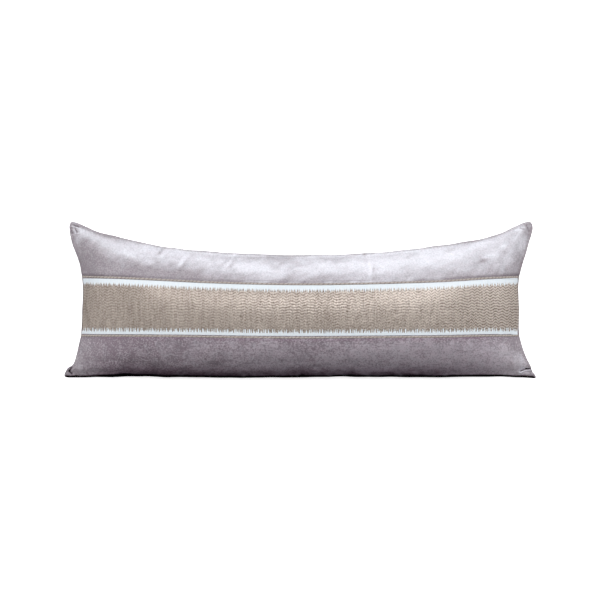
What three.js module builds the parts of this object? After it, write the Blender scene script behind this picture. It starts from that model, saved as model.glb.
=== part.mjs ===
// A long lumbar pillow lying on its back: a filled velvet cushion with a knife-edge seam and four ears,
// a woven band let into its face from end to end, and a narrow edging along each long edge of the band.
//
// Millimetres, +Z up. X runs along the pillow, Y across it, and the face looks up. The origin is on the
// surface it lies on, under the middle of its outline.
//
// Every piece starts as a box divided into a grid. A column of the grid is a share of the pillow's
// length, and a row is a line that runs from end to end, such as a seam or an edge of the band. The
// pieces share the columns and the rows where they meet, so their facets lie parallel.

import * as THREE from "three";

// Outline and crown
const SEAM_HEIGHT = 59; // of the knife-edge seam above the surface, at the middle of a side
const SEAM_HALF_THICKNESS = 2.5; // two layers of velvet and what is turned in
const SEAM_BULGE = 1.5; // of its middle beyond its two edges
const BACK_CROWN = 84; // how far the back would swell below the seam if nothing flattened it
const FLATTENING_BLEND = 7; // how softly the back meets the surface
const CREST_SHARE = 0.48; // where the face stands highest, from the lower seam to the upper one

// How the face rises from a seam: over what run, and how full it is. A higher fullness rises steeper.
const END_RISE = { run: 170, fullness: 3 };
const LOWER_FULLNESS = 2.9;
const UPPER_FULLNESS = 2.4;
const BACK_FULLNESS = 2.6;

// How far each ear's tip hangs below SEAM_HEIGHT
const EAR_DROP = { lowerLeft: 9, lowerRight: 13, upperLeft: 5, upperRight: 7 };
const EAR_REACH = { x: 450, y: 147 };

// Band and edgings
const BAND_THICKNESS = 1.5;
const EDGING_WIDTH = 5;
const EDGING_THICKNESS = 2.4;
const PIECE_GAP = 0.3;
const RECESS_DEPTH = 2; // the band lies this deep in the velvet, so the pile stands level with it
const RECESS_WALL = 0.6; // how wide the step down into the recess is

// Grid
const COLUMNS = 64;
const COLUMN_CROWDING = 0.55; // 0 spaces the columns evenly, 1 crowds them at the ends
const END_ROUNDS = 6; // enough to settle where a row meets a short side
const GRADIENT_STEP = 0.5; // over which a slope is measured

// The two short sides, from the lower seam up: y, and the x of each side's seam.
const SHORT_SIDES = [
  { y: -146, left: -443.5, right: 446 },
  { y: -141, left: -447, right: 445.5 },
  { y: -136, left: -445, right: 439 },
  { y: -131, left: -440, right: 437 },
  { y: -124, left: -431.5, right: 435.5 },
  { y: -116, left: -428, right: 432 },
  { y: -95, left: -422, right: 423.3 },
  { y: -70, left: -416.5, right: 415 },
  { y: -20, left: -413.5, right: 415.3 },
  { y: 25, left: -412, right: 413.5 },
  { y: 48, left: -414.5, right: 415 },
  { y: 72, left: -419, right: 421.5 },
  { y: 95, left: -427, right: 429.2 },
  { y: 120, left: -433.7, right: 436.7 },
  { y: 138, left: -438, right: 441.5 },
  { y: 148, left: -434.5, right: 437.5 },
];

// Along the length: x, the y of each long seam, the y of the edgings' outer edges, and how far the face
// stands above the seam there.
const LENGTHWISE = [
  { x: -450, lowerSeam: -145.5, bandLow: -70.5, bandHigh: 48, upperSeam: 148, crown: 68 },
  { x: -417, lowerSeam: -146, bandLow: -70.3, bandHigh: 47.8, upperSeam: 143, crown: 69 },
  { x: -380, lowerSeam: -145.5, bandLow: -69.8, bandHigh: 46.8, upperSeam: 128, crown: 70 },
  { x: -320, lowerSeam: -144.3, bandLow: -69.5, bandHigh: 44.8, upperSeam: 113, crown: 73 },
  { x: -260, lowerSeam: -144.8, bandLow: -69.6, bandHigh: 42, upperSeam: 100.7, crown: 76 },
  { x: -190, lowerSeam: -146, bandLow: -70.3, bandHigh: 38.5, upperSeam: 92.6, crown: 80 },
  { x: -100, lowerSeam: -146.3, bandLow: -71.6, bandHigh: 35.5, upperSeam: 87, crown: 84 },
  { x: 0, lowerSeam: -145.5, bandLow: -72.3, bandHigh: 34, upperSeam: 84.8, crown: 86 },
  { x: 90, lowerSeam: -144.4, bandLow: -71.9, bandHigh: 34.8, upperSeam: 86.3, crown: 85 },
  { x: 190, lowerSeam: -144.8, bandLow: -71.2, bandHigh: 37, upperSeam: 93.3, crown: 80 },
  { x: 266, lowerSeam: -145.5, bandLow: -70.8, bandHigh: 39.5, upperSeam: 103, crown: 76 },
  { x: 342, lowerSeam: -145, bandLow: -69.5, bandHigh: 44.3, upperSeam: 115.3, crown: 71 },
  { x: 380, lowerSeam: -144.8, bandLow: -69.8, bandHigh: 46, upperSeam: 126, crown: 69 },
  { x: 418, lowerSeam: -146, bandLow: -70.3, bandHigh: 47.3, upperSeam: 143, crown: 68 },
  { x: 450, lowerSeam: -146, bandLow: -70.5, bandHigh: 47.5, upperSeam: 147.5, crown: 67 },
];

// Tucks and soft creases in the face: where each starts and ends, how wide it is and how deep.
const CREASES = [
  { name: "upper left ear tuck", x: -429, y: 122, toX: -414, toY: 100, width: 6, depth: 2.4 },
  { name: "upper left ear pinch", x: -419, y: 140, toX: -409, toY: 129, width: 5, depth: 1.8 },
  { name: "upper right ear tuck", x: 430, y: 120, toX: 421, toY: 98, width: 7, depth: 2.6 },
  { name: "upper right ear pinch", x: 414, y: 138, toX: 406, toY: 126, width: 5, depth: 1.8 },
  { name: "lower left ear tuck", x: -440, y: -134, toX: -426, toY: -140, width: 4, depth: 3.2 },
  { name: "lower left edge roll", x: -405, y: -136, toX: -330, toY: -138, width: 6, depth: 2 },
  { name: "lower right ear fold", x: 438, y: -129.5, toX: 417, toY: -134, width: 3.8, depth: 4.5 },
  { name: "upper face crease left", x: -322, y: 106, toX: -308, toY: 66, width: 11, depth: 1.6 },
  { name: "upper face crease right", x: 118, y: 82, toX: 124, toY: 48, width: 11, depth: 1.6 },
  { name: "lower face hollow", x: 2, y: -144, toX: -6, toY: -104, width: 13, depth: 2.6 },
];

// A smooth curve through one column of a table, level beyond its first and last rows.
function curveThrough(rows, across, column) {
  const at = rows.map((row) => row[across]);
  const value = rows.map((row) => row[column]);
  const last = rows.length - 1;
  const slope = value.map((_, k) => {
    const before = Math.max(k - 1, 0);
    const after = Math.min(k + 1, last);
    return (value[after] - value[before]) / (at[after] - at[before]);
  });
  return (x) => {
    if (x <= at[0]) return value[0];
    if (x >= at[last]) return value[last];
    const k = at.findIndex((start) => start > x) - 1;
    const span = at[k + 1] - at[k];
    const t = (x - at[k]) / span;
    const fromStart = value[k] * (1 + 2 * t) + slope[k] * span * t;
    const fromEnd = value[k + 1] * (3 - 2 * t) + slope[k + 1] * span * (t - 1);
    return fromStart * (1 - t) ** 2 + fromEnd * t ** 2;
  };
}

const leftSide = curveThrough(SHORT_SIDES, "y", "left");
const rightSide = curveThrough(SHORT_SIDES, "y", "right");
const lowerSeam = curveThrough(LENGTHWISE, "x", "lowerSeam");
const upperSeam = curveThrough(LENGTHWISE, "x", "upperSeam");
const bandLow = curveThrough(LENGTHWISE, "x", "bandLow");
const bandHigh = curveThrough(LENGTHWISE, "x", "bandHigh");
const faceCrown = curveThrough(LENGTHWISE, "x", "crown");

const clamp01 = (value) => THREE.MathUtils.clamp(value, 0, 1);

// 0 at a seam and 1 where the surface is level, rising steeply first.
const rise = (distance, run, fullness) => 1 - (1 - clamp01(distance / run)) ** fullness;

function endRise(x, y) {
  const fromLeft = rise(x - leftSide(y), END_RISE.run, END_RISE.fullness);
  const fromRight = rise(rightSide(y) - x, END_RISE.run, END_RISE.fullness);
  return fromLeft * fromRight;
}

function crossRise(x, y, lowerFullness, upperFullness) {
  const low = lowerSeam(x);
  const high = upperSeam(x);
  const crest = THREE.MathUtils.lerp(low, high, CREST_SHARE);
  return y < crest
    ? rise(y - low, crest - low, lowerFullness)
    : rise(high - y, high - crest, upperFullness);
}

// Height of the seam's middle line, carried on across the pillow, with the ears hanging a little.
function seamHeight(x, y) {
  const right = clamp01((x / EAR_REACH.x + 1) / 2);
  const upper = clamp01((y / EAR_REACH.y + 1) / 2);
  const lowerDrop = THREE.MathUtils.lerp(EAR_DROP.lowerLeft, EAR_DROP.lowerRight, right);
  const upperDrop = THREE.MathUtils.lerp(EAR_DROP.upperLeft, EAR_DROP.upperRight, right);
  const drop = THREE.MathUtils.lerp(lowerDrop, upperDrop, upper);
  const nearShortSide = (x / EAR_REACH.x) ** 4;
  const nearLongSide = (y / EAR_REACH.y) ** 2;
  return SEAM_HEIGHT - drop * nearShortSide * nearLongSide;
}

function creaseDepth(x, y) {
  let depth = 0;
  for (const crease of CREASES) {
    const alongX = crease.toX - crease.x;
    const alongY = crease.toY - crease.y;
    const reach = (x - crease.x) * alongX + (y - crease.y) * alongY;
    const share = clamp01(reach / (alongX ** 2 + alongY ** 2));
    const off = Math.hypot(x - crease.x - share * alongX, y - crease.y - share * alongY);
    depth += crease.depth * Math.exp(-((off / crease.width) ** 2));
  }
  return depth;
}

// The smooth face, before the band is let in.
function faceHeight(x, y) {
  const swell = faceCrown(x) * endRise(x, y) * crossRise(x, y, LOWER_FULLNESS, UPPER_FULLNESS);
  return seamHeight(x, y) + SEAM_HALF_THICKNESS + swell;
}

// The back, which lies flat on the surface where its own crown would reach below it.
function backHeight(x, y) {
  const swell = BACK_CROWN * endRise(x, y) * crossRise(x, y, BACK_FULLNESS, BACK_FULLNESS);
  const free = seamHeight(x, y) - SEAM_HALF_THICKNESS - swell;
  if (free >= FLATTENING_BLEND) return free;
  if (free <= -FLATTENING_BLEND) return 0;
  return (free + FLATTENING_BLEND) ** 2 / (4 * FLATTENING_BLEND);
}

function faceNormal(x, y) {
  const step = GRADIENT_STEP;
  const slopeX = (faceHeight(x + step, y) - faceHeight(x - step, y)) / (2 * step);
  const slopeY = (faceHeight(x, y + step) - faceHeight(x, y - step)) / (2 * step);
  return new THREE.Vector3(-slopeX, -slopeY, 1).normalize();
}

// A point that lies `proud` above the smooth face, or below it where proud is negative.
function onFace(x, y, proud) {
  return new THREE.Vector3(x, y, faceHeight(x, y)).addScaledVector(faceNormal(x, y), proud);
}

// A row is a function of x that gives its y. These make rows between two others, or beside one.
const between = (low, high, share) => (x) => THREE.MathUtils.lerp(low(x), high(x), share);
const beside = (row, distance) => (x) => row(x) + distance;

const recessLow = beside(bandLow, RECESS_WALL / 2);
const recessHigh = beside(bandHigh, -RECESS_WALL / 2);
const edgingInset = RECESS_WALL / 2 + PIECE_GAP;
const bandInset = edgingInset + EDGING_WIDTH + PIECE_GAP;
const wovenLow = beside(bandLow, bandInset);
const wovenHigh = beside(bandHigh, -bandInset);

// Rows of the grid: shares of the way from the lower seam to the band, across the band, and from the
// band to the upper seam, closer together where the surface bends more.
const LOWER_SHARES = [0, 0.06, 0.12, 0.18, 0.25, 0.34, 0.45, 0.59, 0.77];
const WOVEN_SHARES = [0, 1 / 7, 2 / 7, 3 / 7, 4 / 7, 5 / 7, 6 / 7, 1];
const UPPER_SHARES = [0.2, 0.38, 0.54, 0.68, 0.79, 0.88, 0.945, 1];

const wovenRows = WOVEN_SHARES.map((share) => between(wovenLow, wovenHigh, share));
const CUSHION_ROWS = [
  ...LOWER_SHARES.map((share) => ({ line: between(lowerSeam, bandLow, share), recessed: false })),
  { line: beside(bandLow, -RECESS_WALL / 2), recessed: false },
  { line: recessLow, recessed: true },
  ...wovenRows.map((line) => ({ line, recessed: true })),
  { line: recessHigh, recessed: true },
  { line: beside(bandHigh, RECESS_WALL / 2), recessed: false },
  ...UPPER_SHARES.map((share) => ({ line: between(bandHigh, upperSeam, share), recessed: false })),
];

// Where a row meets a short side's seam: its y there depends on x, and the seam's x on y.
function rowEnd(line, side) {
  let x = side(0);
  for (let round = 0; round < END_ROUNDS; round += 1) x = side(line(x));
  return x;
}

// Share of the length at a column, with the columns crowded towards the ends.
function columnShare(column) {
  const even = column / COLUMNS;
  return even - (COLUMN_CROWDING * Math.sin(2 * Math.PI * even)) / (2 * Math.PI);
}

// A box divided into the grid, with each of its points moved by place(column, row, layer).
function gridBody(rowCells, layers, place) {
  const geometry = new THREE.BoxGeometry(1, 1, 1, COLUMNS, rowCells, layers);
  const points = geometry.getAttribute("position");
  for (let k = 0; k < points.count; k += 1) {
    const column = Math.round((points.getX(k) + 0.5) * COLUMNS);
    const row = Math.round((points.getY(k) + 0.5) * rowCells);
    const layer = Math.round((points.getZ(k) + 0.5) * layers);
    const point = place(column, row, layer);
    points.setXYZ(k, point.x, point.y, point.z);
  }
  geometry.computeVertexNormals();
  return geometry;
}

// x and y of a grid point, from the two ends of its row.
function gridSpot(line, ends, column) {
  const x = THREE.MathUtils.lerp(ends.left, ends.right, columnShare(column));
  return { x, y: line(x) };
}

const endsOf = (line) => ({ left: rowEnd(line, leftSide), right: rowEnd(line, rightSide) });

// The filled velvet cover: face, back, and a rounded seam between them.
function makeCushion() {
  const ends = CUSHION_ROWS.map((row) => endsOf(row.line));
  const lastRow = CUSHION_ROWS.length - 1;
  return gridBody(lastRow, 2, (column, row, layer) => {
    const { x, y } = gridSpot(CUSHION_ROWS[row].line, ends[row], column);
    const outward = new THREE.Vector3(
      column === 0 ? -1 : column === COLUMNS ? 1 : 0,
      row === 0 ? -1 : row === lastRow ? 1 : 0,
      0,
    );
    const onSeam = outward.lengthSq() > 0;
    if (layer === 1) {
      return new THREE.Vector3(x, y, seamHeight(x, y)).addScaledVector(outward.normalize(), SEAM_BULGE);
    }
    if (layer === 0) {
      return new THREE.Vector3(x, y, onSeam ? seamHeight(x, y) - SEAM_HALF_THICKNESS : backHeight(x, y));
    }
    const sunk = CUSHION_ROWS[row].recessed ? RECESS_DEPTH : 0;
    return onFace(x, y, onSeam ? -sunk : -sunk - creaseDepth(x, y));
  });
}

// A strip that lies in the recess. Each of its rows says how high its top stands off the recess.
function makeStrip(rows) {
  const ends = rows.map((row) => endsOf(row.line));
  return gridBody(rows.length - 1, 1, (column, row, layer) => {
    const { x, y } = gridSpot(rows[row].line, ends[row], column);
    const above = layer === 1 ? rows[row].thickness : 0;
    return onFace(x, y, PIECE_GAP - RECESS_DEPTH + above - creaseDepth(x, y));
  });
}

function makeBand() {
  return makeStrip(wovenRows.map((line) => ({ line, thickness: BAND_THICKNESS })));
}

// An edging has a rounded top: thin at its two edges and full along its middle.
function makeEdging(lowerEdge) {
  const thin = EDGING_THICKNESS / 2;
  return makeStrip([
    { line: lowerEdge, thickness: thin },
    { line: beside(lowerEdge, EDGING_WIDTH * 0.25), thickness: EDGING_THICKNESS },
    { line: beside(lowerEdge, EDGING_WIDTH * 0.75), thickness: EDGING_THICKNESS },
    { line: beside(lowerEdge, EDGING_WIDTH), thickness: thin },
  ]);
}

const velvet = new THREE.MeshStandardMaterial({ color: 0x9b919c, roughness: 0.75, metalness: 0 });
const wovenGold = new THREE.MeshStandardMaterial({ color: 0xb4a498, roughness: 0.5, metalness: 0.2 });
const taupe = new THREE.MeshStandardMaterial({ color: 0x9c8c82, roughness: 0.6, metalness: 0.1 });

function namedMesh(name, geometry, material) {
  const mesh = new THREE.Mesh(geometry, material);
  mesh.name = name;
  return mesh;
}

const pillow = new THREE.Group();
pillow.add(
  namedMesh("velvet_cushion", makeCushion(), velvet),
  namedMesh("jacquard_band", makeBand(), wovenGold),
  namedMesh("lower_edging", makeEdging(beside(bandLow, edgingInset)), taupe),
  namedMesh("upper_edging", makeEdging(beside(bandHigh, -edgingInset - EDGING_WIDTH)), taupe),
);

// The outline's middle goes over the origin.
const outline = new THREE.Box3().setFromObject(pillow);
const middle = outline.getCenter(new THREE.Vector3());
pillow.position.set(-middle.x, -middle.y, -outline.min.z);

export default pillow;
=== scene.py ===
import math
import random

import bmesh
import bpy
import numpy as np
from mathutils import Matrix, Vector, noise
from mathutils.bvhtree import BVHTree
from mathutils.kdtree import KDTree


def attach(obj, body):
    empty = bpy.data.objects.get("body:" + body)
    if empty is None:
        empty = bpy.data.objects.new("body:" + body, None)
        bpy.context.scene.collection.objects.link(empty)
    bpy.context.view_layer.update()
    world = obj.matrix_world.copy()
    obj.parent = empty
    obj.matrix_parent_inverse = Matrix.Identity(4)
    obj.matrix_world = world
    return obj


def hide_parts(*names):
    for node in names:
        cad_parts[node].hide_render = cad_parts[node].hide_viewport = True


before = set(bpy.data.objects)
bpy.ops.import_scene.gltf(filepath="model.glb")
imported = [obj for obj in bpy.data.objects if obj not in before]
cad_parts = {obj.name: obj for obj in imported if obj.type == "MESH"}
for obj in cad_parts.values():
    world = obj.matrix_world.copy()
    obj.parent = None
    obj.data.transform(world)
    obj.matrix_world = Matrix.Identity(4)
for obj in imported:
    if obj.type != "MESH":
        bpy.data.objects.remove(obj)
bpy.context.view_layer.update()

bl_info = {
    "name": "Velvet lumbar pillow",
    "version": (1, 0, 0),
    "blender": (4, 5, 0),
    "location": "3D View > Sidebar > Pillow",
    "description": "Dresses the packed solids of a long velvet pillow with a let-in woven band",
    "category": "Object",
}

BODY = "root"
MM = 0.001
MERGE_DISTANCE = 0.01 * MM
SEAM_LEVEL = 59 * MM
UPWARD = 0.3  # a face whose normal rises more than this belongs to a strip's upper skin

# The painted shadow line runs along the part of the outer seam past this y and within this x.
LOW_SEAM_SIDE = -139.5 * MM
LOW_SEAM_END = 443 * MM

# The swelling cloth: how far it starts inside the cover, its pressure and its time steps.
CLOTH_INSET = 1.5 * MM
CLOTH_PRESSURE = 4
CLOTH_QUALITY = 5
CLOTH_STEPS = 20

# Cells along and across the band and round the cords.
BAND_COLUMNS = 450
BAND_ROWS = 100
CORD_COLUMNS = 1040
CORD_ROWS = 10

# The zigzags of the band's lower and upper part, and the x where they start and stop.
ZIGZAG_SEEDS = (11, 23)
ZIGZAG_END = 0.43

FLOOR_SIZE = 80
FLOOR_GLOW = (0.8, 0.8, 0.8)
FAR_GLOW = (1, 1, 1)
GLOW_RISES = (1.0, 3.5)  # metres from the pillow
AIM = (0, 0, 0.08)
KEY_DISTANCE = 2.4

# Marks on the face: middle x and y, half length, half width, turn in degrees, strength.
# A positive strength makes the pile dull and darker, a negative one brighter. Some marks are patches of nap;
# the bright and dark pairs along the ripples and the marks at the ear tips are painted highlights and
# painted shade.
NAP_AND_SHADE_MARKS = (
    (-0.412, 0.070, 0.040, 0.036, -12, 1.20),
    (-0.310, 0.054, 0.110, 0.024, -8, 0.90),
    (-0.180, 0.048, 0.090, 0.014, -5, 0.40),
    (-0.340, 0.097, 0.085, 0.009, -24, -0.40),
    (-0.374, 0.126, 0.040, 0.006, -20, 0.75),
    (-0.430, 0.134, 0.018, 0.012, 0, 0.70),
    (-0.262, 0.095, 0.009, 0.0025, 50, 0.70),
    (-0.257, 0.089, 0.009, 0.003, 50, -0.50),
    (-0.221, 0.074, 0.013, 0.003, 60, -0.80),
    (-0.214, 0.072, 0.014, 0.003, 58, 0.35),
    (-0.135, 0.070, 0.014, 0.003, 55, -0.80),
    (-0.128, 0.068, 0.014, 0.003, 55, 0.50),
    (0.131, 0.060, 0.020, 0.003, 92, -0.70),
    (0.138, 0.058, 0.018, 0.003, 92, 0.35),
    (0.122, 0.090, 0.008, 0.003, 95, 0.80),
    (0.434, 0.137, 0.012, 0.012, 0, 0.70),
    (0.420, 0.072, 0.020, 0.034, 12, 0.45),
    (0.385, 0.060, 0.060, 0.016, 8, 0.40),
    (0.344, 0.075, 0.012, 0.003, 20, 0.90),
    (0.338, 0.081, 0.008, 0.003, -30, 0.50),
    (0.382, 0.094, 0.018, 0.006, -30, 0.35),
    (0.412, 0.122, 0.016, 0.006, 40, 0.35),
    (0.370, 0.108, 0.045, 0.012, 25, -0.30),
    (0.220, 0.080, 0.150, 0.015, 5, -0.40),
    (0.310, 0.108, 0.060, 0.008, 20, 0.30),
    (-0.405, 0.107, 0.022, 0.012, -25, 0.50),
    (0.280, 0.048, 0.060, 0.010, 4, 0.30),
    (0.050, 0.043, 0.045, 0.008, 4, 0.45),
    (-0.060, 0.081, 0.045, 0.005, 0, 0.40),
    (-0.035, 0.070, 0.020, 0.006, 30, 0.30),
    (-0.020, 0.046, 0.018, 0.010, 40, 0.40),
    (-0.090, 0.062, 0.060, 0.008, -12, -0.30),
    (0.250, -0.104, 0.130, 0.030, 0, -0.45),
    (-0.060, -0.098, 0.032, 0.026, 0, -0.25),
    (0.120, -0.112, 0.026, 0.030, 20, -0.55),
    (0.420, -0.084, 0.040, 0.033, 0, 1.15),
    (-0.365, -0.088, 0.090, 0.040, 0, 1.25),
    (0.365, -0.118, 0.045, 0.018, 0, -0.60),
    (-0.441, -0.136, 0.012, 0.010, 0, 1.00),
    (-0.250, -0.116, 0.100, 0.020, 0, 0.65),
    (0.030, -0.105, 0.018, 0.030, 0, 0.30),
    (-0.150, -0.122, 0.060, 0.018, 8, 0.25),
)

# Ripples of the cloth: the same numbers, with the height in millimetres as the strength.
RIPPLES = (
    (-0.372, 0.090, 0.070, 0.013, -24, 2.2),
    (-0.262, 0.094, 0.010, 0.004, 50, -1.1),
    (-0.220, 0.075, 0.016, 0.004, 60, 1.2),
    (-0.135, 0.071, 0.016, 0.004, 55, 1.6),
    (-0.020, 0.068, 0.016, 0.006, 50, -0.8),
    (0.130, 0.062, 0.022, 0.004, 92, 1.3),
    (0.210, 0.070, 0.022, 0.010, 70, 1.0),
    (0.344, 0.076, 0.012, 0.004, 20, -1.5),
    (0.388, 0.093, 0.018, 0.006, -40, -0.3),
    (0.400, 0.112, 0.030, 0.010, 32, 0.3),
    (-0.428, 0.100, 0.022, 0.004, -76, 1.0),
    (0.424, 0.096, 0.020, 0.004, 74, 0.8),
    (0.004, -0.138, 0.010, 0.004, 90, -1.8),
    (0.099, -0.136, 0.012, 0.004, 80, -1.8),
    (0.060, -0.130, 0.018, 0.008, 70, 0.9),
    (-0.180, -0.136, 0.010, 0.005, 100, -1.2),
    (0.290, -0.136, 0.010, 0.005, 80, -1.2),
)

# Folds pressed in at the corners: x and y of both ends, half width and depth in millimetres.
EAR_FOLDS = (
    (0.4440, -0.1300, 0.4310, -0.1305, 1.4, 2.8),
    (0.4310, -0.1305, 0.4200, -0.1345, 1.3, 2.0),
    (-0.4390, -0.1350, -0.4350, -0.1390, 2.0, 1.8),
    (-0.4340, -0.1270, -0.4390, -0.1350, 1.4, 1.6),
    (-0.4300, 0.1425, -0.4200, 0.1395, 1.3, 1.3),
    (-0.4360, 0.1365, -0.4325, 0.1265, 1.3, 1.3),
    (-0.4280, 0.1370, -0.4235, 0.1290, 1.3, 1.3),
    (0.4185, 0.1376, 0.4260, 0.1353, 1.2, 0.5),
    (0.4308, 0.1430, 0.4346, 0.1306, 1.3, 1.0),
    (0.4223, 0.1040, 0.4232, 0.0907, 1.2, 0.5),
)

# How the corners stretch out: x and y of each, then how far along x and y and the reach in millimetres.
EAR_PULLS = (
    (-0.4470, -0.1430, -2.8, -1.6, 13),
    (-0.4400, -0.1295, -2.2, 1.6, 7),
    (0.4465, -0.1440, 2.6, -2.2, 13),
    (0.4390, -0.1270, 1.4, 0.6, 8),
    (0.4190, -0.0680, 1.2, 0.0, 14),
    (-0.4320, 0.1450, -0.4, 2.4, 13),
    (0.4350, 0.1450, 0.4, 2.4, 13),
)


# Meshes

def merged_copy(node):
    """A CAD node's loose triangles joined into quads, as a bmesh."""
    shape = bmesh.new()
    shape.from_mesh(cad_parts[node].data)
    bmesh.ops.remove_doubles(shape, verts=shape.verts, dist=MERGE_DISTANCE)
    bmesh.ops.join_triangles(
        shape,
        faces=shape.faces[:],
        cmp_seam=False,
        cmp_sharp=False,
        cmp_uvs=False,
        cmp_vcols=False,
        cmp_materials=False,
        angle_face_threshold=math.pi,
        angle_shape_threshold=math.pi,
    )
    bmesh.ops.recalc_face_normals(shape, faces=shape.faces)
    return shape


def piece_from(shape, name):
    """A scene object that holds the bmesh, which is freed."""
    mesh = bpy.data.meshes.new(name)
    shape.to_mesh(mesh)
    shape.free()
    piece = bpy.data.objects.new(name, mesh)
    bpy.context.scene.collection.objects.link(piece)
    return piece


def apply_modifiers(piece):
    """Replaces the piece's mesh with what its modifiers make of it."""
    graph = bpy.context.evaluated_depsgraph_get()
    made = bpy.data.meshes.new_from_object(piece.evaluated_get(graph))
    old = piece.data
    piece.modifiers.clear()
    piece.data = made
    bpy.data.meshes.remove(old)
    made.name = piece.name


def subdivide_smoothly(piece, levels):
    """Smooths the piece and keeps the corners of its open edges."""
    smooth = piece.modifiers.new("Subdivision", "SUBSURF")
    smooth.levels = levels
    smooth.render_levels = levels
    smooth.boundary_smooth = "PRESERVE_CORNERS"
    apply_modifiers(piece)


def shade_smooth(piece):
    piece.data.polygons.foreach_set("use_smooth", [True] * len(piece.data.polygons))
    piece.data.update()


def remove_piece(piece):
    mesh = piece.data
    bpy.data.objects.remove(piece)
    bpy.data.meshes.remove(mesh)


def points_of(mesh):
    """The mesh's points as rows of x, y and z."""
    flat = np.empty(len(mesh.vertices) * 3, np.float32)
    mesh.vertices.foreach_get("co", flat)
    return flat.reshape(-1, 3).astype(float)


def normals_of(mesh):
    flat = np.empty(len(mesh.vertices) * 3, np.float32)
    mesh.vertex_normals.foreach_get("vector", flat)
    return flat.reshape(-1, 3).astype(float)


def move_points(mesh, points):
    mesh.vertices.foreach_set("co", points.astype(np.float32).ravel())
    mesh.update()


def keep_numbers(mesh, name, values):
    """Stores one number for each point under a name that a material can read."""
    layer = mesh.attributes.new(name, "FLOAT", "POINT")
    layer.data.foreach_set("value", np.asarray(values, np.float32))


def keep_vectors(mesh, name, vectors):
    """Stores one vector for each point, for the pieces that are made later."""
    layer = mesh.attributes.new(name, "FLOAT_VECTOR", "POINT")
    layer.data.foreach_set("vector", vectors.astype(np.float32).ravel())


def kept_vectors(mesh, name):
    """What keep_vectors stored under that name."""
    flat = np.empty(len(mesh.vertices) * 3, np.float32)
    mesh.attributes[name].data.foreach_get("vector", flat)
    return flat.reshape(-1, 3).astype(float)


def smooth_step(low, high, value):
    """0 below low, 1 above high and smooth between them."""
    share = np.clip((value - low) / (high - low), 0, 1)
    return share * share * (3 - 2 * share)


def nearest_mix(places, values, points, count=8):
    """Values known at some places, mixed at each point from the nearest few."""
    tree = KDTree(len(places))
    for index, place in enumerate(places):
        tree.insert(place, index)
    tree.balance()
    mixed = np.zeros((len(points), values.shape[1]))
    for row, point in enumerate(points):
        found = tree.find_n(point, count)
        weights = np.array([1 / (distance + 0.5 * MM) ** 2 for _, _, distance in found])
        chosen = values[[index for _, index, _ in found]]
        mixed[row] = weights @ chosen / weights.sum()
    return mixed


def distance_to(places, points):
    """How far each point lies from the nearest of some places."""
    tree = KDTree(len(places))
    for index, place in enumerate(places):
        tree.insert(place, index)
    tree.balance()
    return np.array([tree.find(point)[2] for point in points])


# Shader nodes

class Wire:
    """A number on a shader socket that works in Python sums."""

    def __init__(self, finish, socket):
        self.finish = finish
        self.socket = socket

    def math(self, operation, *others):
        return self.finish.math(operation, self, *others)

    def __add__(self, other):
        return self.math("ADD", other)

    def __radd__(self, other):
        return self.math("ADD", other)

    def __sub__(self, other):
        return self.math("SUBTRACT", other)

    def __rsub__(self, other):
        return self.finish.math("SUBTRACT", other, self)

    def __mul__(self, other):
        return self.math("MULTIPLY", other)

    def __rmul__(self, other):
        return self.math("MULTIPLY", other)

    def __truediv__(self, other):
        return self.math("DIVIDE", other)


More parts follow.
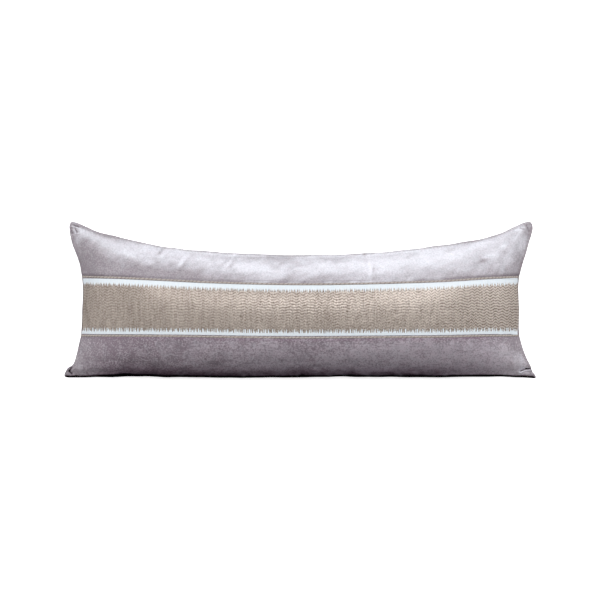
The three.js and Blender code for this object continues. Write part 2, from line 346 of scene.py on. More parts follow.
class Finish:
    """A material or a world and the nodes that it is made of."""

    def __init__(self, holder, output="Object"):
        self.holder = holder
        holder.use_nodes = True
        self.tree = holder.node_tree
        self.tree.nodes.clear()
        self.place = self.add("ShaderNodeTexCoord", output=output)

    def add(self, kind, settings=None, inputs=None, output=0):
        """A node of that kind, its settings, then the values or wires of its sockets."""
        node = self.tree.nodes.new(kind)
        for name, value in (settings or {}).items():
            setattr(node, name, value)
        for name, value in (inputs or {}).items():
            if isinstance(value, Wire):
                self.tree.links.new(value.socket, node.inputs[name])
            else:
                node.inputs[name].default_value = value
        return Wire(self, node.outputs[output] if node.outputs else None)

    def math(self, operation, *values):
        return self.add("ShaderNodeMath", {"operation": operation}, dict(enumerate(values)))

    def step(self, value, low, high):
        """0 below low, 1 above high and smooth between them."""
        return self.add(
            "ShaderNodeMapRange",
            {"interpolation_type": "SMOOTHSTEP"},
            {"Value": value, "From Min": low, "From Max": high, "To Min": 0.0, "To Max": 1.0},
            "Result",
        )

    def limit(self, value):
        return self.add("ShaderNodeClamp", None, {"Value": value})

    def noise(self, grain, detail=2.0, stretch=(1, 1, 1), turn=0.0, offset=0.0, roughness=0.5):
        """Even noise from 0 to 1 whose blotches are about grain metres across."""
        mapped = self.add(
            "ShaderNodeMapping",
            None,
            {
                "Vector": self.place,
                "Location": (offset, offset, offset),
                "Rotation": (0, 0, turn),
                "Scale": tuple(part / grain for part in stretch),
            },
        )
        return self.add(
            "ShaderNodeTexNoise",
            None,
            {"Vector": mapped, "Scale": 1.0, "Detail": detail, "Roughness": roughness},
        )

    def mix(self, share, first, second, blend="MIX"):
        """One colour turned into another."""
        colours = [
            value if isinstance(value, Wire) else (*value, 1) for value in (first, second)
        ]
        return self.add(
            "ShaderNodeMix",
            {"data_type": "RGBA", "blend_type": blend},
            {0: share, 6: colours[0], 7: colours[1]},
            2,
        )

    def bump(self, height, depth, under=None):
        """A normal that makes a height from 0 to 1 stand depth metres proud."""
        inputs = {"Strength": 1.0, "Distance": depth, "Height": height}
        if under is not None:
            inputs["Normal"] = under
        return self.add("ShaderNodeBump", None, inputs)

    def part(self, axis):
        """Where a point lies along x, y or z."""
        return self.add("ShaderNodeSeparateXYZ", None, {0: self.place}, axis)

    def combed(self, lean):
        """The surface's normal leant over as combed pile lies."""
        upright = self.add("ShaderNodeNewGeometry", output="Normal")
        leaning = self.add("ShaderNodeVectorMath", {"operation": "ADD"}, {0: upright, 1: lean})
        return self.add("ShaderNodeVectorMath", {"operation": "NORMALIZE"}, {0: leaning})

    def number(self, name):
        """What keep_numbers stored under that name."""
        return self.add("ShaderNodeAttribute", {"attribute_name": name}, None, "Fac")

    def shader(self, inputs):
        return self.add("ShaderNodeBsdfPrincipled", None, inputs)

    def end(self, shader, kind="ShaderNodeOutputMaterial"):
        """The finished material or world."""
        self.add(kind, None, {"Surface": shader})
        return self.holder


# Materials

def velvet_finish(look):
    """Crushed velvet: patches of nap, a fine grain and a cool bloom, with painted shade in the seams, folds
    and along the lower long side, and painted highlights and shade from the face's marks.
    """
    finish = Finish(bpy.data.materials.new("mauve_velvet"))
    patches = finish.noise(36 * MM, 2.0, (1, 0.7, 1), 0.3)
    brushing = finish.noise(13 * MM, 2.0, (0.7, 1, 1), 0.7, 3.0)
    mottle = finish.noise(7 * MM, 2.0, (1, 1, 1), 0.0, 5.0, 0.6)
    grain = finish.noise(2.9 * MM, 1.0, (1, 1, 1), 0.0, 7.0, 0.6)
    nap_and_shade = finish.number("nap_and_shade")
    painted_shade = finish.number("painted_shade")
    along = finish.part(0)
    lower = 1 - finish.step(finish.part(1), -60 * MM, -20 * MM)
    ends = finish.step(finish.math("ABSOLUTE", along), 0.34, 0.43)
    middle = lower * (1 - ends)
    even = lower * finish.step(-1 * along, 0.0, 0.3)
    blotches = 0.12 * finish.step(patches, 0.3, 0.7) + 0.14 * finish.step(brushing, 0.3, 0.7)
    blotches = blotches + (0.12 - 0.06 * even) * (finish.step(mottle, 0.3, 0.7) - 0.5) - 0.13
    nap = 0.55 + (1 + 0.4 * lower + 0.9 * middle) * blotches
    nap = nap + (1.6 + 0.9 * lower + 2.3 * middle) * (grain - 0.5)
    # The nap share also carries the painted shade and painted highlights of the marks, the seams and the
    # folds.
    nap = nap - 0.3 * nap_and_shade
    colour = finish.mix(nap, look.shade_colour, look.velvet_colour)
    cast = finish.noise(12 * MM, 2.0, (1, 1, 1), 0.0, 9.0, 0.7)
    colour = finish.mix(finish.step(cast, 0.4, 0.62), colour, look.cast_colour, "MULTIPLY")
    # The upper face is kept greyer and the lower middle richer in tint, as a lit and a shaded side look; the
    # painted shade deepens the tint further.
    richness = 0.62 + 0.04 * lower + (0.24 + 1.3 * painted_shade) * middle
    colour = finish.add(
        "ShaderNodeHueSaturation", None, {"Saturation": richness, "Color": colour}
    )
    # Painted shade: the mask colours the pile dark, then near-black, in the seams beside the cords, in the
    # ear folds and along the lower long side.
    painted_shade_colour = finish.mix(finish.step(painted_shade, 0.6, 0.95), look.lower_shade_colour, look.seam_colour)
    colour = finish.mix(painted_shade, colour, painted_shade_colour)
    combed = finish.combed((0, -look.comb, 0))
    lie = finish.bump(patches, 2.5 * MM, combed)
    lie = finish.bump(brushing, 0.5 * MM, lie)
    lie = finish.bump(mottle, 0.18 * MM, lie)
    pile = finish.bump(grain, 0.15 * MM, lie)
    bright = finish.shader(
        {
            "Base Color": colour,
            "Roughness": 0.5,
            "IOR": 2.8,
            "Specular IOR Level": 1.0,
            "Specular Tint": (*look.bloom_colour, 1),
            "Normal": pile,
        }
    )
    dull = finish.shader(
        {
            "Base Color": finish.mix(0.34, colour, (0, 0, 0)),
            "Roughness": 0.65,
            # Metallic over the painted shade takes the gloss off it as well, so the painted shadow stays
            # near-black.
            "Metallic": finish.step(painted_shade, 0.15, 0.9),
            "IOR": 1.8,
            "Specular Tint": (*look.bloom_colour, 1),
            "Normal": pile,
        }
    )
    # The dull share rises with the painted shade and with the marks, so those places lose their sheen and
    # darken.
    dull_share = nap_and_shade + painted_shade + 0.4 * (patches - 0.5) + 0.35 * (brushing - 0.5) + 0.18
    return finish.end(
        finish.add("ShaderNodeMixShader", None, {0: finish.limit(dull_share), 1: bright, 2: dull})
    )


def jacquard_finish(look):
    """Zigzag rows of satin thread between two icy stripes with ragged teeth."""
    finish = Finish(bpy.data.materials.new("champagne_jacquard"))
    row = finish.number("row")
    from_low = finish.number("from_low")
    from_high = finish.number("from_high")
    along = finish.part(0)
    fine = finish.noise(1.6 * MM, 1.0, (1, 0.35, 0.35), 0.0, 2.0)
    cast = finish.noise(40 * MM, 2.0, (1, 1, 1), 0.0, 4.0)
    warp = finish.noise(3.8 * MM, 1.0, (1, 0.12, 0.12), 0.0, 6.0)
    breaks = finish.noise(2.9 * MM, 0.0, (1.15, 0.95, 0.95), 0.0, 8.0)
    height = from_low / (from_low + from_high)
    clear = 0.12 + 0.12 * finish.step(along, -0.5, 0.2) + 0.5 * finish.step(along, 0.15, 0.45)
    clear = clear + 0.16 * height
    phase = finish.math("FRACT", row)
    hump = finish.math("SINE", phase * math.pi)
    thread = finish.step(hump + 0.3 * (fine - 0.5), 0.35, 0.85)
    champagne = finish.mix(cast, look.thread_shade_colour, look.thread_colour)
    light = 0.50 - 0.07 * height + clear * (thread - 0.45)
    # Painted highlight: the threads on the upper side of the right half are painted lighter, as the satin
    # catches the light there.
    light = light + 0.22 * height * finish.step(along, 0.0, 0.2)
    broken = 0.6 + 0.3 * finish.step(along, -0.25, 0.1)
    light = light + 0.5 * (warp - 0.5) + broken * (breaks - 0.5)
    weave = finish.mix(light, look.gap_colour, champagne)
    white = 0
    for distance, offset, solid, tooth_width, tooth, soft in (
        (from_low, 0.0, 0.65, 2.7 * MM, 1.2, 0.7 * MM),
        (from_high, 37.0, 1.02, 2.8 * MM, 0.8, 2.8 * MM),
    ):
        spikes = finish.add(
            "ShaderNodeTexNoise",
            {"noise_dimensions": "1D"},
            {"W": along / tooth_width + offset, "Scale": 1.0, "Detail": 1.0, "Roughness": 0.6},
        )
        teeth = look.tooth_length * tooth * finish.step(spikes, 0.4, 0.66)
        reach = look.stripe_width * solid + teeth
        white = 1 - finish.step(distance - reach, -soft, soft) + white
    ice = finish.mix(warp, look.stripe_shade_colour, look.stripe_colour)
    colour = finish.mix(white, weave, ice)
    relief = finish.bump(fine * 0.6 + breaks * 0.4, 0.15 * MM, finish.combed((0, -0.2, 0)))
    return finish.end(
        finish.shader(
            {
                "Base Color": colour,
                "Roughness": 0.55 - 0.1 * thread * (1 - white),
                "Metallic": 0.25 * thread * (1 - white),
                "Specular IOR Level": 0.4,
                "Normal": relief,
            }
        )
    )


def edging_finish(look):
    """Taupe twisted cord with painted shade in the dip between its strands."""
    finish = Finish(bpy.data.materials.new("taupe_edging"))
    dip = finish.number("dip")
    fuzz = finish.noise(1.2 * MM, 2.0)
    sunk = finish.step(dip + 0.3 * (fuzz - 0.5), 0.45, 1.0)
    colour = finish.mix(sunk, look.cord_colour, look.dip_colour)
    return finish.end(
        finish.shader(
            {
                "Base Color": colour,
                "Roughness": 0.6,
                "Sheen Weight": 0.3,
                "Sheen Roughness": 0.5,
                "Normal": finish.bump(fuzz, 0.15 * MM),
            }
        )
    )


def floor_finish(colour):
    """Plain matt paper, lit a little more far out, where the lamps no longer reach."""
    finish = Finish(bpy.data.materials.new("pale_floor"))
    x, y = finish.part(0), finish.part(1)
    away = finish.math("SQRT", x * x + y * y)
    return finish.end(
        finish.shader(
            {
                "Base Color": (*colour, 1),
                "Roughness": 0.9,
                "Specular IOR Level": 0.1,
                "Emission Color": finish.mix(finish.step(away, *GLOW_RISES), FLOOR_GLOW, FAR_GLOW),
                "Emission Strength": 1.0,
            }
        )
    )


def air_finish(look):
    """Even light from all round, weak on the lower long side, and the floor's glow from below."""
    air = Finish(bpy.data.worlds.new("air"), "Generated")
    above = air.step(air.part(2), -0.1, 0.1)
    side = look.dim_side + (1 - look.dim_side) * air.step(air.part(1), -0.7, 0.7)
    strength = look.air_light * above * side + look.floor_glow * (1 - above)
    colour = air.mix(above, look.glow_colour, (1, 1, 1))
    light = air.add("ShaderNodeBackground", None, {"Color": colour, "Strength": strength})
    return air.end(light, "ShaderNodeOutputWorld")


# Sizes and colours that a user may change

def span(name, description, default, low=0.0, high=2.0):
    return bpy.props.FloatProperty(
        name=name,
        description=description,
        default=default,
        min=low,
        max=high,
        unit="LENGTH",
        subtype="DISTANCE",
    )


def tint(name, description, default):
    return bpy.props.FloatVectorProperty(
        name=name, description=description, default=default, size=3, min=0, max=1, subtype="COLOR"
    )


def ratio(name, description, default, high=1.0):
    return bpy.props.FloatProperty(
        name=name, description=description, default=default, min=0, max=high, subtype="FACTOR"
    )


def power(name, description, default):
    return bpy.props.FloatProperty(
        name=name, description=description, default=default, min=0, max=2000, unit="POWER"
    )


class CoverSettings(bpy.types.PropertyGroup):
    """The filled velvet cover."""

    velvet_colour: tint("Velvet", "Pile that leans towards the light", (0.87, 0.735, 0.835))
    shade_colour: tint("Brushed velvet", "Pile that leans away from the light", (0.44, 0.33, 0.40))
    cast_colour: tint("Cast", "Tint of the greyer patches of pile", (0.96, 1.0, 0.99))
    # Painted shade: the colour the pile is painted towards the lower long side and in the seams and folds.
    lower_shade_colour: tint("Deep velvet", "Pile that leans well away from the light", (0.074, 0.034, 0.055))
    seam_colour: tint("Seam shade", "Near-black shade painted down in the lower seam", (0.006, 0.005, 0.006))
    bloom_colour: tint("Bloom", "Cool light on the tips of the pile", (0.86, 0.93, 1.0))
    comb: ratio("Comb", "How far the pile leans towards the lower long side", 0.22)
    groove: span("Seam groove", "How far the outer seam sinks between its lips", 1.6 * MM)
    lip: span("Seam lip", "How far the cloth rolls out beside the seam", 2.5 * MM)
    ripple: span("Ripples", "Height of the cloth's soft ripples", 1.2 * MM)
    cloth_grid: span("Cloth grid", "Distance between the points of the swelling cloth", 6 * MM, 0.004)
    swell_limit: span("Swell limit", "The furthest that the cloth may move", 5 * MM)
    fill: ratio("Fill", "How tightly the cover is filled", 0.8)


class BandSettings(bpy.types.PropertyGroup):
    """The woven band across the face."""

    thread_colour: tint("Thread", "Satin thread in the light", (0.70, 0.62, 0.56))
    thread_shade_colour: tint("Shaded thread", "Thread where the weave is looser", (0.60, 0.525, 0.47))
    gap_colour: tint("Ground", "Ground cloth between the threads", (0.15, 0.108, 0.082))
    stripe_colour: tint("Stripe", "The icy stripe along each edge", (0.90, 0.95, 0.98))
    stripe_shade_colour: tint("Shaded stripe", "Looser threads of the stripe", (0.78, 0.86, 0.94))
    row_pitch: span("Row pitch", "Distance from one zigzag row to the next", 5.2 * MM, 0.002)
    row_height: span("Row height", "How far a row of thread stands up", 0.45 * MM)
    zigzag_width: span("Zigzag width", "Usual width of one zigzag", 10.5 * MM, 0.004)
    zigzag_height: span("Zigzag height", "Usual height of one zigzag", 6.5 * MM)
    stripe_width: span("Stripe width", "Width of a stripe without its teeth", 8 * MM)
    tooth_length: span("Tooth length", "Longest tooth of a stripe's ragged side", 6 * MM)
    flat_width: span("Cut width", "Width of the band between its seams", 0.104)
    flat_length: span("Cut length", "Length of the band between its seams", 0.863)


class EdgingSettings(bpy.types.PropertyGroup):
    """The cords along the band."""

    cord_colour: tint("Cord", "Taupe thread of the cords", (0.47, 0.41, 0.375))
    dip_colour: tint("Dip", "Shade between two strands", (0.31, 0.255, 0.225))
    cord_width: span("Cord width", "Width of a cord", 3.6 * MM)
    cord_thickness: span("Cord thickness", "Thickness of a cord", 2.6 * MM)
    strand_pitch: span("Strand pitch", "Distance from one strand to the next", 7.6 * MM, 0.001)


class StageSettings(bpy.types.PropertyGroup):
    """Floor, lights and camera."""

    floor_colour: tint("Floor", "Plain pale floor", (0.97, 0.97, 0.97))
    camera_height: span("Camera height", "Height of the camera over the outer seam", 3.167, 0.5, 20)
    lens: bpy.props.FloatProperty(
        name="Lens",
        description="Focal length of the camera",
        default=100,
        min=10,
        max=300,
        unit="CAMERA",
    )
    key_power: power("Key light", "Softbox beyond the upper long side", 26)
    key_rise: bpy.props.FloatProperty(
        name="Key rise",
        description="Degrees that the softbox stands over the horizon",
        default=10,
        min=5,
        max=90,
    )
    top_power: power("Top light", "Wide softbox high above the pillow", 140)
    side_power: power("Side lights", "Softboxes beyond the two short sides", 16)
    fill_power: power("Fill lights", "Softboxes that light the two ends without gloss", 5)
    air_light: ratio("Air", "Even light from all round", 0.06, 5)
    dim_side: ratio("Dim side", "Share of the air's light that comes from the lower long side", 0.05)
    glow_colour: tint("Glow colour", "Tint of the light from the floor", (1.0, 0.82, 0.93))
    floor_glow: ratio("Floor glow", "Light that the floor throws back at the pillow", 0.07, 5)


class PillowSettings(bpy.types.PropertyGroup):
    """Everything about the pillow."""

    cover: bpy.props.PointerProperty(type=CoverSettings, name="Cover", description="The velvet cover")
    band: bpy.props.PointerProperty(type=BandSettings, name="Band", description="The woven band")
    edging: bpy.props.PointerProperty(type=EdgingSettings, name="Edging", description="The two cords")
    stage: bpy.props.PointerProperty(type=StageSettings, name="Stage", description="Floor and lights")


# Shapes

def sink_seam(shape, look):
    """Draws the outer seam in between two lips, so that it reads as a sewn edge."""
    seam = [
        vertex
        for vertex in shape.verts
        if any(face.normal.z > 0.05 for face in vertex.link_faces)
        and any(face.normal.z < -0.05 for face in vertex.link_faces)
        and abs(vertex.co.z - SEAM_LEVEL) < 12 * MM
    ]
    on_seam = set(seam)
    lips = {
        edge.other_vert(vertex) for vertex in seam for edge in vertex.link_edges
    } - on_seam
    outward = {}
    for vertex in seam:
        level = Vector((vertex.normal.x, vertex.normal.y, 0))
        outward[vertex] = level.normalized()
    for vertex in lips:
        beside = [edge.other_vert(vertex) for edge in vertex.link_edges]
        beside = [other for other in beside if other in on_seam]
        direction = sum((outward[other] for other in beside), Vector()).normalized()
        vertex.co += look.lip * direction
    for vertex in seam:
        vertex.co -= look.groove * outward[vertex]
    along_seam = [edge for edge in shape.edges if on_seam.issuperset(edge.verts)]
    return np.array(
        [
            edge.verts[0].co.lerp(edge.verts[1].co, part)[:]
            for edge in along_seam
            for part in (0, 0.2, 0.4, 0.6, 0.8)
        ]
    )


def mark_field(points, marks):
    """The sum of soft oval marks at each point."""
    total = np.zeros(len(points))
    for x, y, half_length, half_width, turn, strength in marks:
        angle = math.radians(turn)
        along = (points[:, 0] - x) * math.cos(angle) + (points[:, 1] - y) * math.sin(angle)
        across = (points[:, 1] - y) * math.cos(angle) - (points[:, 0] - x) * math.sin(angle)
        total += strength * np.exp(-((along / half_length) ** 2) - (across / half_width) ** 2)
    return total


def soft_noise(points, grain, stretch=1.0, turn=0):
    """Even noise of about -0.5 to 0.5, with blotches grain metres wide, longer along the turn."""
    angle = math.radians(turn)
    along = (points[:, 0] * math.cos(angle) + points[:, 1] * math.sin(angle)) / stretch
    across = points[:, 1] * math.cos(angle) - points[:, 0] * math.sin(angle)
    places = np.column_stack([along, across, points[:, 2]]) / grain
    return np.array([noise.noise(Vector(place)) for place in places])


def pull_ears(points):
    """Stretches the corners out to their tips."""
    for x, y, pull_x, pull_y, reach in EAR_PULLS:
        away = np.hypot(points[:, 0] - x, points[:, 1] - y)
        share = np.exp(-((away / (reach * MM)) ** 2))
        points[:, 0] += pull_x * MM * share
        points[:, 1] += pull_y * MM * share


def fold_distance(points, fold):
    """Distance in plan from a fold's line, and how far on its upper side a point is."""
    start, stop = np.array(fold[:2]), np.array(fold[2:4])
    line = stop - start
    length_of_line = np.linalg.norm(line)
    line /= length_of_line
    offset = points[:, :2] - start
    along = np.clip(offset @ line, 0, length_of_line)
    nearest = start + along[:, None] * line
    away = points[:, :2] - nearest
    return np.hypot(away[:, 0], away[:, 1]), away[:, 1]


def refine_ears(cover):
    """Gives the cloth around the ear folds enough points to be folded."""
    shape = bmesh.new()
    shape.from_mesh(cover.data)
    points = points_of(cover.data)
    near = np.zeros(len(points), bool)
    for fold in EAR_FOLDS:
        near |= (fold_distance(points, fold)[0] < 11 * MM) & (points[:, 2] > SEAM_LEVEL - 12 * MM)
    edges = [edge for edge in shape.edges if all(near[vertex.index] for vertex in edge.verts)]
    bmesh.ops.subdivide_edges(shape, edges=edges, cuts=2, use_grid_fill=True)
    shape.to_mesh(cover.data)
    shape.free()
    cover.data.update()


def beside_band(points):
    """Distance in plan from the cords' outer sides, below zero between them, and which side."""
    upper, lower = Strip("upper_edging"), Strip("lower_edging")
    above = points[:, 1] - np.interp(points[:, 0], upper.high[:, 0], upper.high[:, 1])
    below = np.interp(points[:, 0], lower.low[:, 0], lower.low[:, 1]) - points[:, 1]
    return np.maximum(above, below), above > below


def swell_cloth(cover, look):
    """Blows a copy of the cover up as cloth and says where its points were and how they moved."""
    scene = bpy.context.scene
    cloth = cover.copy()
    cloth.data = cover.data.copy()
    scene.collection.objects.link(cloth)
    remesh = cloth.modifiers.new("Even cloth", "REMESH")
    remesh.mode = "VOXEL"
    remesh.voxel_size = look.cloth_grid
    apply_modifiers(cloth)
    rest = points_of(cloth.data)
    move_points(cloth.data, rest - CLOTH_INSET * normals_of(cloth.data))
    swelling = cloth.modifiers.new("Swelling", "CLOTH")
    swelling.settings.quality = CLOTH_QUALITY
    swelling.settings.use_pressure = True
    swelling.settings.uniform_pressure_force = CLOTH_PRESSURE
    swelling.settings.effector_weights.gravity = 0
    for step in range(1, CLOTH_STEPS + 1):
        scene.frame_set(step)
    graph = bpy.context.evaluated_depsgraph_get()
    moved = points_of(cloth.evaluated_get(graph).data)
    scene.frame_set(1)
    remove_piece(cloth)
    return rest, moved - rest


def shape_cover(cover, look):
    """Ripples and ear folds on the swollen cover, with its patches of nap and its painted shade and
    highlights.
    """
    points = points_of(cover.data)
    pull_ears(points)
    move_points(cover.data, points)
    normals = normals_of(cover.data)
    on_face = smooth_step(0.05, 0.3, normals[:, 2])
    beside, is_upper = beside_band(points)
    clear = np.where(on_face > 0.5, smooth_step(2 * MM, 14 * MM, beside), 1.0)
    clear *= smooth_step(0, 12 * MM, points[:, 2])
    height = MM * mark_field(points, RIPPLES) * on_face
    height += look.ripple * soft_noise(points, 34 * MM)
    nap_and_shade = mark_field(points, NAP_AND_SHADE_MARKS)
    shaded = smooth_step(-0.02, -0.06, points[:, 1])
    calm = 1 - 0.5 * smooth_step(0.24, 0.38, np.abs(points[:, 0]))
    nap_and_shade += shaded * calm * (0.65 * soft_noise(points, 24 * MM) + 0.6 * soft_noise(points, 9 * MM))
    nap_and_shade += (1 - shaded) * 0.3 * soft_noise(points, 10 * MM, 3.0, 48)
    # Painted shade: the pile turns dull and darker in a strip where it dips to the band's seams.
    nap_and_shade += np.where(is_upper, 0.3, 0.9) * np.exp(-((beside / (10 * MM)) ** 2))
    # Painted shade: a dark line right beside the cords.
    painted_shade = np.where(is_upper, 0.28, 0.22) * (1 - smooth_step(2 * MM, 5 * MM, beside)) * on_face
    moves = normals * (height * clear)[:, None]
    for fold in EAR_FOLDS:
        half_width, depth = fold[4] * MM, fold[5] * MM
        away, upward = fold_distance(points, fold)
        dent = np.exp(-((away / half_width) ** 2)) * on_face
        below = (upward + 2.2 * half_width) / half_width
        lip = np.exp(-(below**2)) * (away < 4 * half_width) * on_face
        moves += normals * (0.5 * depth * lip - depth * dent)[:, None]
        # Painted shade down in each fold, and a painted highlight on the lip below it.
        shade = min(0.9, fold[5] / 3)
        painted_shade += shade * np.exp(-((away / (0.8 * half_width)) ** 2)) * on_face
        nap_and_shade -= shade * lip
    moved = points + moves
    moved[:, 2] = np.maximum(moved[:, 2], 0)
    move_points(cover.data, moved)
    # The sides get the duller, darker pile and the underside more of it, which paints shade under the
    # cushion.
    under = smooth_step(-0.1, -0.4, normals[:, 2])
    return nap_and_shade * on_face + 0.45 * (1 - on_face) + 0.55 * under, painted_shade


def low_seam_shade(points, seam, upward):
    """Painted shade that darkens the pile towards the lower long side, and a painted near-black shadow line
    down in its seam.
    """
    low_seam = seam[(seam[:, 1] < LOW_SEAM_SIDE) & (np.abs(seam[:, 0]) < LOW_SEAM_END)]
    gap = distance_to(low_seam, points)
    x = points[:, 0]
    to_left = smooth_step(-0.28, -0.40, x)
    to_right = smooth_step(0.2, 0.37, x)
    shade_strength = 0.70 - 0.42 * to_left - 0.62 * to_right
    shade = shade_strength * (1 - smooth_step(4 * MM, 54 * MM, gap)) * upward
    thinner = 6 * MM * smooth_step(-0.33, -0.43, x) + 5.5 * MM * smooth_step(0.32, 0.44, x)
    thinner += 4 * MM * ~upward
    # The painted shadow line in the seam, thinner towards the ends and under the seam.
    line = 1 - smooth_step(8 * MM, 13 * MM, gap + thinner)
    return shade + (0.8 + 0.3 * to_right) * line


def make_cover(look):
    """The cushion's own mesh, swollen as cloth and folded, with its patches of nap and its painted shade."""
    shape = merged_copy("velvet_cushion")
    seam = sink_seam(shape, look)
    cover = piece_from(shape, "cushion_cover")
    subdivide_smoothly(cover, 2)
    refine_ears(cover)
    points = points_of(cover.data)
    swell = np.zeros_like(points)
    rest, moves = swell_cloth(cover, look)
    broad = nearest_mix(rest, moves, rest, 60)
    fine = moves - broad
    size = np.linalg.norm(fine, axis=1, keepdims=True)
    fine *= np.minimum(1, look.swell_limit / np.maximum(size, 1e-9))
    swell = nearest_mix(rest, fine, points)
    swell *= smooth_step(0, 12 * MM, points[:, 2:])
    gap = distance_to(seam, points)
    keep_vectors(cover.data, "swell", swell)
    keep_vectors(cover.data, "rest", points)
    move_points(cover.data, points + swell)
    nap_and_shade, painted_shade = shape_cover(cover, look)
    # Painted shade: the pile turns dull and darker along the outer seam.
    nap_and_shade += 0.6 * (1 - smooth_step(3 * MM, 9 * MM, gap))
    upward = normals_of(cover.data)[:, 2] > 0
    # Painted shade and a painted near-black shadow line towards the lower long side.
    painted_shade += low_seam_shade(points, seam, upward)
    keep_numbers(cover.data, "nap_and_shade", nap_and_shade)
    keep_numbers(cover.data, "painted_shade", np.clip(painted_shade, 0, 1))
    shade_smooth(cover)
    return cover


class Strip:
    """Where a strip that runs along x lies: its four sides and its upper skin."""

    def __init__(self, node):
        shape = merged_copy(node)
        under = [face for face in shape.faces if face.normal.z < UPWARD]
        bmesh.ops.delete(shape, geom=under, context="FACES")
        sides = sorted(self.sides_of(shape), key=lambda side: side[:, 0].mean())
        self.left, self.right = (side[side[:, 1].argsort()] for side in (sides[0], sides[3]))
        low, high = sorted(sides[1:3], key=lambda side: side[:, 1].mean())
        self.low, self.high = (side[side[:, 0].argsort()] for side in (low, high))
        skin = piece_from(shape, node + "_skin")
        subdivide_smoothly(skin, 2)
        mesh = skin.data
        self.skin = BVHTree.FromPolygons(
            [vertex.co for vertex in mesh.vertices], [face.vertices[:] for face in mesh.polygons]
        )
        remove_piece(skin)

    @staticmethod
    def sides_of(shape):
        """The open edge of a strip, cut at its four corners."""

        def neighbours(vertex):
            return [edge.other_vert(vertex) for edge in vertex.link_edges if edge.is_boundary]

        def bend(vertex):
            first, second = neighbours(vertex)
            return (first.co - vertex.co).angle(second.co - vertex.co)

        rim = sorted((vertex for vertex in shape.verts if vertex.is_boundary), key=bend)
        corners = set(rim[:4])
        start = rim[0]
        walk = [start, neighbours(start)[0]]
        while walk[-1] is not start:
            first, second = neighbours(walk[-1])
            walk.append(second if first is walk[-2] else first)
        sides = [[start]]
        for vertex in walk[1:]:
            sides[-1].append(vertex)
            if vertex in corners and vertex is not start:
                sides.append([vertex])
        return [np.array([vertex.co[:] for vertex in side]) for side in sides]

    def spot(self, along, across):
        """x and y at shares of the way from left to right and from the low side to the high one."""
        y = np.zeros_like(along)
        for _ in range(4):
            x = (1 - along) * np.interp(y, self.left[:, 1], self.left[:, 0]) + along * np.interp(
                y, self.right[:, 1], self.right[:, 0]
            )
            low = np.interp(x, self.low[:, 0], self.low[:, 1])
            high = np.interp(x, self.high[:, 0], self.high[:, 1])
            y = (1 - across) * low + across * high
        return x, y, high - low

    def height(self, x, y):
        """Height of the skin over each spot."""
        heights = np.empty(len(x))
        for index, (spot_x, spot_y) in enumerate(zip(x, y)):
            hit = self.skin.ray_cast((spot_x, spot_y, 1), (0, 0, -1))[0]
            if hit is None:
                hit = self.skin.find_nearest((spot_x, spot_y, heights[index - 1]))[0]
            heights[index] = hit.z
        return heights


def grid_shape(columns, rows):
    """A flat grid as a bmesh, with each point's shares of the way along and across it."""
    shape = bmesh.new()
    bmesh.ops.create_grid(shape, x_segments=columns, y_segments=rows, size=0.5)
    shares = np.array([vertex.co[:2] for vertex in shape.verts]) + 0.5
    return shape, shares[:, 0], shares[:, 1]


def place_points(shape, points, **numbers):
    """Moves the bmesh's points and stores numbers on them for the material."""
    layers = {name: shape.verts.layers.float.new(name) for name in numbers}
    for index, vertex in enumerate(shape.verts):
        vertex.co = points[index]
        for name, layer in layers.items():
            vertex[layer] = numbers[name][index]


def grid_normals(points, columns, rows):
    """Upward normals of points that lie on a grid with one more point than cells each way."""
    field = points.reshape(rows + 1, columns + 1, 3)
    normals = np.cross(np.gradient(field, axis=1), np.gradient(field, axis=0))
    normals /= np.linalg.norm(normals, axis=2, keepdims=True)
    return normals.reshape(-1, 3)


def follow_cover(points):
    """Moves points as the cover below them swelled."""
    cover = bpy.data.objects["cushion_cover"].data
    swell = kept_vectors(cover, "swell")
    if not swell.any():
        return points
    rest = kept_vectors(cover, "rest")
    face = rest[:, 2] > SEAM_LEVEL - 5 * MM
    return points + nearest_mix(rest[face], swell[face], points)


def zigzag(look, seed):
    """Knots of an uneven zigzag line along the band."""
    dice = random.Random(seed)
    x, side = -ZIGZAG_END, 1
    knots = [(x, 0.0)]
    while x < ZIGZAG_END:
        x += 0.5 * look.zigzag_width * dice.uniform(0.6, 1.35)
        height = 0.5 * look.zigzag_height * dice.uniform(0.35, 1.0)
        knots.append((x, side * height))
        if dice.random() < 0.22:
            x += look.zigzag_width * dice.uniform(0.3, 0.7)
            knots.append((x, side * height * dice.uniform(0.6, 1.0)))
        side = -side
    return np.array(knots)


def make_band(look):
    """The woven band: a thin sheet with its rows of thread standing up in zigzags."""
    columns, rows = BAND_COLUMNS, BAND_ROWS
    strip = Strip("jacquard_band")
    shape, along, across = grid_shape(columns, rows)
    x, y, width = strip.spot(along, across)
    points = follow_cover(np.column_stack([x, y, strip.height(x, y)]))
    first, second = (zigzag(look, seed) for seed in ZIGZAG_SEEDS)
    blend = smooth_step(0.25, 0.8, across)
    wave = (1 - blend) * np.interp(x, first[:, 0], first[:, 1])
    wave += blend * np.interp(x, second[:, 0], second[:, 1])
    row = (across * width - wave) / look.row_pitch
    from_low = across * width
    from_high = (1 - across) * width
    inside = smooth_step(look.stripe_width, look.stripe_width + 3 * MM, np.minimum(from_low, from_high))
    hump = np.sin(math.pi * (row % 1.0)) * inside
    points += grid_normals(points, columns, rows) * (look.row_height * (hump - 0.5))[:, None]
    place_points(shape, points, row=row, from_low=from_low, from_high=from_high)
    bmesh.ops.recalc_face_normals(shape, faces=shape.faces)
    band = piece_from(shape, "woven_band")
    wall = band.modifiers.new("Thickness", "SOLIDIFY")
    wall.thickness = 1.1 * MM
    wall.offset = -1
    apply_modifiers(band)
    shade_smooth(band)
    return band


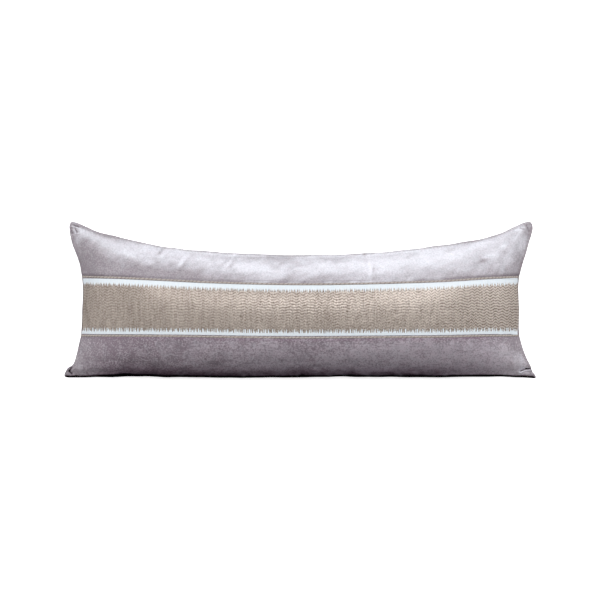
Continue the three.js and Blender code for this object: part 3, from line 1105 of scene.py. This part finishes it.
def make_edging(node, name, look):
    """A twisted cord that lies along one long side of the band."""
    columns, rows = CORD_COLUMNS, CORD_ROWS
    strip = Strip(node)
    stations = np.linspace(0, 1, columns + 1)
    x, y, _ = strip.spot(stations, np.full(columns + 1, 0.5))
    line = follow_cover(np.column_stack([x, y, strip.height(x, y)]))
    ahead = np.gradient(line, axis=0)
    ahead /= np.linalg.norm(ahead, axis=1, keepdims=True)
    side = np.cross([0, 0, 1], ahead)
    side /= np.linalg.norm(side, axis=1, keepdims=True)
    up = np.cross(ahead, side)
    travel = np.concatenate([[0], np.cumsum(np.linalg.norm(np.diff(line, axis=0), axis=1))])
    shape, along, across = grid_shape(columns, rows)
    index = np.rint(along * columns).astype(int)
    angle = 2 * math.pi * across
    uneven = 0.9 * np.sin(travel / (17 * MM)) + 0.7 * np.sin(travel / (6.1 * MM))
    twist = 2 * math.pi * travel[index] / look.strand_pitch + uneven[index] + angle
    dip = 0.5 + 0.5 * np.cos(twist)
    swell = 1 - 0.16 * dip
    out = 0.5 * look.cord_width * swell * np.cos(angle)
    rise = 0.5 * look.cord_thickness * (swell * np.sin(angle) - 0.75)
    points = line[index] + side[index] * out[:, None] + up[index] * rise[:, None]
    place_points(shape, points, dip=dip)
    bmesh.ops.remove_doubles(shape, verts=shape.verts, dist=MERGE_DISTANCE)
    ends = [edge for edge in shape.edges if edge.is_boundary]
    bmesh.ops.holes_fill(shape, edges=ends, sides=0)
    bmesh.ops.recalc_face_normals(shape, faces=shape.faces)
    edging = piece_from(shape, name)
    shade_smooth(edging)
    return edging


def make_stage(look):
    """Camera first, then the floor, the lamps and the air."""
    scene = bpy.context.scene
    lens = bpy.data.cameras.new("camera")
    lens.lens = look.lens
    lens.sensor_width = 36
    camera = bpy.data.objects.new("camera", lens)
    camera.location = (0.0001, 0.0007, SEAM_LEVEL + look.camera_height)
    scene.collection.objects.link(camera)
    scene.camera = camera

    shape = bmesh.new()
    bmesh.ops.create_grid(shape, x_segments=4, y_segments=4, size=FLOOR_SIZE)
    floor = piece_from(shape, "floor")
    floor.visible_diffuse = False
    floor.visible_glossy = False
    floor.data.materials.append(floor_finish(look.floor_colour))

    aim = Vector(AIM)
    rise = math.radians(look.key_rise)
    key_place = (0.15, KEY_DISTANCE * math.cos(rise), KEY_DISTANCE * math.sin(rise))
    lamps = [
        ("key_light", key_place, 2.6, 0.8, look.key_power, False, True),
        ("top_light", (0, 0.8, 4.35), 1.6, 1.2, look.top_power, True, True),
    ]
    for side, x in (("left", -1), ("right", 1)):
        lamps.append((side + "_light", (2.3 * x, 0.3, 0.75), 1.4, 1.2, look.side_power, True, True))
        lamps.append((side + "_fill", (2.0 * x, 0.2, 1.0), 1.4, 1.2, look.fill_power, True, False))
    for name, place, width, depth, strength, as_light, as_sheen in lamps:
        lamp = bpy.data.lights.new(name, "AREA")
        lamp.shape = "RECTANGLE"
        lamp.size = width
        lamp.size_y = depth
        lamp.energy = strength
        holder = bpy.data.objects.new(name, lamp)
        holder.visible_diffuse = as_light
        holder.visible_glossy = as_sheen
        holder.location = place
        holder.rotation_euler = (aim - Vector(place)).to_track_quat("-Z", "Y").to_euler()
        scene.collection.objects.link(holder)

    scene.world = air_finish(look)
    scene.view_settings.view_transform = "Standard"


# Operators

class PILLOW_OT_stage(bpy.types.Operator):
    """Make the camera, the floor and the lights"""

    bl_idname = "pillow.stage"
    bl_label = "Camera and stage"

    def execute(self, context):
        make_stage(context.scene.pillow.stage)
        return {"FINISHED"}


class PILLOW_OT_cover(bpy.types.Operator):
    """Make the filled velvet cover"""

    bl_idname = "pillow.cover"
    bl_label = "Velvet cover"

    def execute(self, context):
        look = context.scene.pillow.cover
        cover = make_cover(look)
        cover.data.materials.clear()
        cover.data.materials.append(velvet_finish(look))
        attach(cover, BODY)
        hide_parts("velvet_cushion")
        return {"FINISHED"}


class PILLOW_OT_edgings(bpy.types.Operator):
    """Make the two cords along the band"""

    bl_idname = "pillow.edgings"
    bl_label = "Edgings"

    def execute(self, context):
        look = context.scene.pillow.edging
        finish = edging_finish(look)
        for side in ("upper", "lower"):
            edging = make_edging(side + "_edging", side + "_cord", look)
            edging.data.materials.append(finish)
            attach(edging, BODY)
            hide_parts(side + "_edging")
        return {"FINISHED"}


class PILLOW_OT_band(bpy.types.Operator):
    """Make the woven band between the cords"""

    bl_idname = "pillow.band"
    bl_label = "Woven band"

    def execute(self, context):
        look = context.scene.pillow.band
        band = make_band(look)
        band.data.materials.append(jacquard_finish(look))
        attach(band, BODY)
        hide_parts("jacquard_band")
        return {"FINISHED"}


class PILLOW_PT_panel(bpy.types.Panel):
    """The pillow's pieces and their sizes and colours"""

    bl_idname = "PILLOW_PT_panel"
    bl_label = "Velvet lumbar pillow"
    bl_space_type = "VIEW_3D"
    bl_region_type = "UI"
    bl_category = "Pillow"

    def draw(self, context):
        for part, operator in STEPS:
            box = self.layout.box()
            box.operator(operator)
            group = getattr(context.scene.pillow, part)
            for name in group.__annotations__:
                box.prop(group, name)


STEPS = (
    ("stage", "pillow.stage"),
    ("cover", "pillow.cover"),
    ("edging", "pillow.edgings"),
    ("band", "pillow.band"),
)
CLASSES = (
    CoverSettings,
    BandSettings,
    EdgingSettings,
    StageSettings,
    PillowSettings,
    PILLOW_OT_stage,
    PILLOW_OT_cover,
    PILLOW_OT_edgings,
    PILLOW_OT_band,
    PILLOW_PT_panel,
)


def register():
    for kind in CLASSES:
        bpy.utils.register_class(kind)
    bpy.types.Scene.pillow = bpy.props.PointerProperty(type=PillowSettings)


def unregister():
    del bpy.types.Scene.pillow
    for kind in reversed(CLASSES):
        bpy.utils.unregister_class(kind)


def main():
    register()
    bpy.ops.pillow.stage()
    bpy.ops.pillow.cover()
    bpy.ops.pillow.edgings()
    bpy.ops.pillow.band()


if __name__ == "__main__":
    main()
